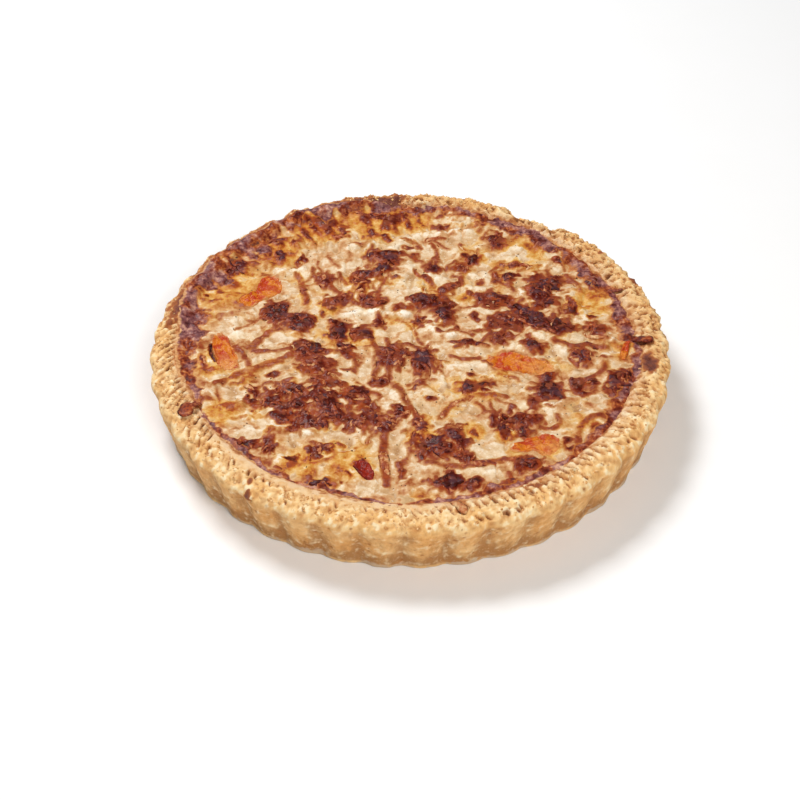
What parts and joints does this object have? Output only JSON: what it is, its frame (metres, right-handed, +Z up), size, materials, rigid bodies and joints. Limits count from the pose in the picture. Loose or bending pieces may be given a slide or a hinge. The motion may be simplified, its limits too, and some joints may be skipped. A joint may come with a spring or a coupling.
{
  "type": "quiche",
  "caption": "Round baked quiche out of its tin, with a fluted pastry crust, a browned custard filling and salmon pieces set in its surface.",
  "frame": {"origin": "middle of the base, on the surface that the quiche stands on", "axes": "+Z up through the custard; -Y towards the side where the crust's rim is widest, the picture's front"},
  "size_m": [0.2604, 0.2596, 0.0341],
  "materials": {
    "pastry": "matte",
    "custard": "satin",
    "salmon": "satin"
  },
  "bodies": {
    "root": {"crust": "pastry", "filling": "custard", "salmon_1": "salmon", "salmon_2": "salmon", "salmon_3": "salmon", "salmon_4": "salmon", "salmon_5": "salmon", "salmon_6": "salmon"}
  },
  "joints": []
}
